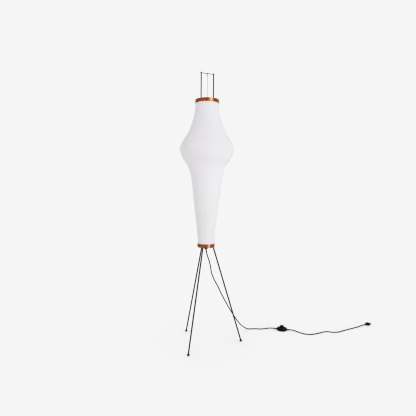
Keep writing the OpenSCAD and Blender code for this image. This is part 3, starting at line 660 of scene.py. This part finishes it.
def bulbOutline(radius, neckRadius, settings):
    # Radius and height from the neck towards the pole: a cubic that leaves the neck along its own slope and
    # meets the ball on the ball's tangent, then an arc of the ball.
    steps, low = settings["steps"], settings["lowAngle"]
    centre = np.array([0, settings["centreZ"]])
    meets = centre + radius * np.array([math.cos(low), math.sin(low)])
    tangent = radius * np.array([-math.sin(low), math.cos(low)])
    f = (np.arange(steps) / steps)[:, None]
    foot, footSlope = np.array([neckRadius, settings["neckZ"]]), np.array(settings["neckSlope"])
    neck = cubic(f, foot, meets, footSlope, tangent)
    angle = np.linspace(low, np.pi / 2, steps + 1)[:-1]
    return np.concatenate([neck, centre + radius * np.stack([np.cos(angle), np.sin(angle)], -1)])


def makeBulb(settings):
    # The outline turned round the lamp's axis, outside and inside, each side closed by a pole and both
    # joined at the neck.
    wall, columns = settings["wall"], settings["aroundSteps"]
    outer = bulbOutline(settings["radius"], settings["neckRadius"], settings)
    inner = bulbOutline(settings["radius"] - wall, settings["neckRadius"] - wall, settings)
    rows = np.concatenate([inner[::-1], outer])
    angle = np.arange(columns) * 2 * np.pi / columns
    sides = polar(rows[:, :1], angle, rows[:, 1:])
    top = settings["centreZ"] + settings["radius"]
    points = np.concatenate([sides.reshape(-1, 3), [(0, 0, top - wall), (0, 0, top)]])

    around = np.arange(columns)
    after = (around + 1) % columns
    innerPole, outerPole = np.full((2, columns), [[len(points) - 2], [len(points) - 1]])
    lastRow = (len(rows) - 1) * columns
    fans = np.concatenate([np.stack([innerPole, after, around], -1),
                           np.stack([outerPole, lastRow + around, lastRow + after], -1)])
    return newPiece("opal_bulb", points / 1000, ringFaces(len(rows), columns).tolist() + fans.tolist())


bulb = makeBulb(bulbSet)
bulb.data.materials.append(finishes["opalGlass"])
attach(bulb, "stand")
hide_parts("bulb_glass")
print("scene: bulb made,", len(bulb.data.polygons), "faces")


# Floor, world and lights.

stageSet = {
    "seen": 0.914,           # the background's value, 245 of 255
    "world": 0.86,           # the light that falls on the object from all round
    "floorHalf": 40.0, "floorDrop": 0.0002,      # metres
    "floorColour": 0.93,
    "floorSeen": 0.68,       # the colour that the camera and gloss see, under the glow
    "floorGlow": 0.319,
}


def seenRays(tree):
    # One for rays from the camera, gloss and glass, and zero for the light that falls on the object.
    rays = addNode(tree, "ShaderNodeLightPath").outputs
    bounced = calc(tree, "MAXIMUM", rays["Is Glossy Ray"], rays["Is Transmission Ray"])
    return calc(tree, "MAXIMUM", rays["Is Camera Ray"], bounced)


def makeWorld(settings):
    # A world that lights the object, and that the camera, metal and glass see as the pale background.
    world = bpy.data.worlds.new("studio")
    bpy.context.scene.world = world
    tree = newTree(world)
    strength = calc(tree, "MULTIPLY", seenRays(tree), settings["seen"] - settings["world"])
    strength = calc(tree, "ADD", strength, settings["world"])
    light = addNode(tree, "ShaderNodeBackground", {"Color": (1, 1, 1, 1), "Strength": strength})
    addNode(tree, "ShaderNodeOutputWorld", {"Surface": light.outputs[0]})


def makeFloor(settings):
    # A wide pale floor just under the feet. What the camera and gloss see of it is a darker floor, which
    # keeps the shadow, plus a glow that brings it up to the background.
    half, drop = settings["floorHalf"], settings["floorDrop"]
    corners = [(-half, -half, -drop), (half, -half, -drop), (half, half, -drop), (-half, half, -drop)]
    floor = newPiece("studio_floor", corners, [(0, 1, 2, 3)])
    material, tree, shader = newMaterial("paleFloor", Roughness=0.9, Specular_IOR_Level=0.0)
    seen = seenRays(tree)
    colour = mixColour(tree, seen, (settings["floorColour"],) * 3, (settings["floorSeen"],) * 3)
    tree.links.new(colour, shader.inputs["Base Color"])
    strength = calc(tree, "MULTIPLY", seen, settings["floorGlow"])
    glow = addNode(tree, "ShaderNodeEmission", {"Color": (1, 1, 1, 1), "Strength": strength})
    both = addNode(tree, "ShaderNodeAddShader", {0: shader.outputs[0], 1: glow.outputs[0]})
    setSurface(tree, both.outputs[0])
    floor.data.materials.append(material)


screenSet = {
    "radius": 3.0, "top": 4.5,       # the ring of screens round the object, in metres
    "cardHeight": 0.0004,
    "steps": 144,
    "plain": (0.34, 0.20, 0.10),     # light of the plain screens and of the card on the floor
    # Turn to the camera's right and half width, both in degrees, and the light added there. The first is
    # the softbox, and the rest are fills.
    "lights": [(40.0, 14.5, (0.60, 1.40, 1.95)),
               (-105.0, 34.0, (-0.12, -0.05, 0.06)), (-40.0, 22.0, (0.04, 0.03, 0.01)),
               (2.0, 20.0, (-0.02, -0.07, -0.07)), (40.0, 22.0, (0.42, 0.26, 0.09)),
               (78.0, 17.0, (-0.13, -0.09, -0.03)), (140.0, 30.0, (0.10, 0.16, 0.20))],
}


def makeScreens(settings):
    # The warm screens, the softbox and the floor card that stand round the object, as gloss sees them.
    # Light at a turn: the plain screens', plus for each light its own times exp(-(turn from it / half
    # width) squared).
    steps, plain = settings["steps"], settings["plain"]
    turn = np.arange(steps) * 360 / steps - 180
    shine = np.tile(plain, (steps, 1))
    for middle, width, added in settings["lights"]:
        away = (turn - middle + 180) % 360 - 180
        shine += np.exp(-(away / width) ** 2)[:, None] * np.array(added)
    low = polar(settings["radius"], np.radians(turn - 90), settings["cardHeight"])
    points = np.concatenate([low, low + (0, 0, settings["top"]), low])
    card = [list(range(2 * steps, 3 * steps))]
    screens = newPiece("studio_screens", points, ringFaces(2, steps).tolist() + card)
    colours = np.ones((len(points), 4), np.float32)
    colours[:, :3] = np.concatenate([shine, shine, np.tile(plain, (steps, 1))])
    screens.data.attributes.new("glow", "FLOAT_COLOR", "POINT").data.foreach_set("color", colours.ravel())

    material = bpy.data.materials.new("screens")
    tree = newTree(material)
    glow = addNode(tree, "ShaderNodeAttribute", attribute_name="glow").outputs["Color"]
    light = addNode(tree, "ShaderNodeEmission", {"Color": glow, "Strength": 1.0})
    addNode(tree, "ShaderNodeOutputMaterial", {"Surface": light.outputs[0]})
    screens.data.materials.append(material)
    screens.visible_camera = screens.visible_diffuse = screens.visible_shadow = False
    screens.visible_transmission = screens.visible_volume_scatter = False


keySet = {
    "turn": 42.0, "height": 3.0,     # degrees, to the camera's right and above the floor
    "strength": 0.86, "spread": 24.0,
    "colour": (1.0, 1.035, 1.10),
}


def makeKey(settings):
    # A broad key lamp, to the camera's right, so far off that its light is even.
    data = bpy.data.lights.new("key", "SUN")
    data.energy = settings["strength"]
    data.color = settings["colour"]
    data.angle = math.radians(settings["spread"])
    key = bpy.data.objects.new("key", data)
    bpy.context.scene.collection.objects.link(key)
    towards = Vector(wayTo(settings["turn"] - 90, 90 + settings["height"]))
    key.rotation_mode = "QUATERNION"
    key.rotation_quaternion = towards.to_track_quat("Z", "Y")
    key.visible_glossy = False       # gloss sees the softbox instead


makeWorld(stageSet)
makeFloor(stageSet)
makeScreens(screenSet)
makeKey(keySet)
bpy.context.scene.view_settings.view_transform = "Standard"
print("scene: floor, world and key made")


# The view layer, brought up to date.

bpy.context.view_layer.update()
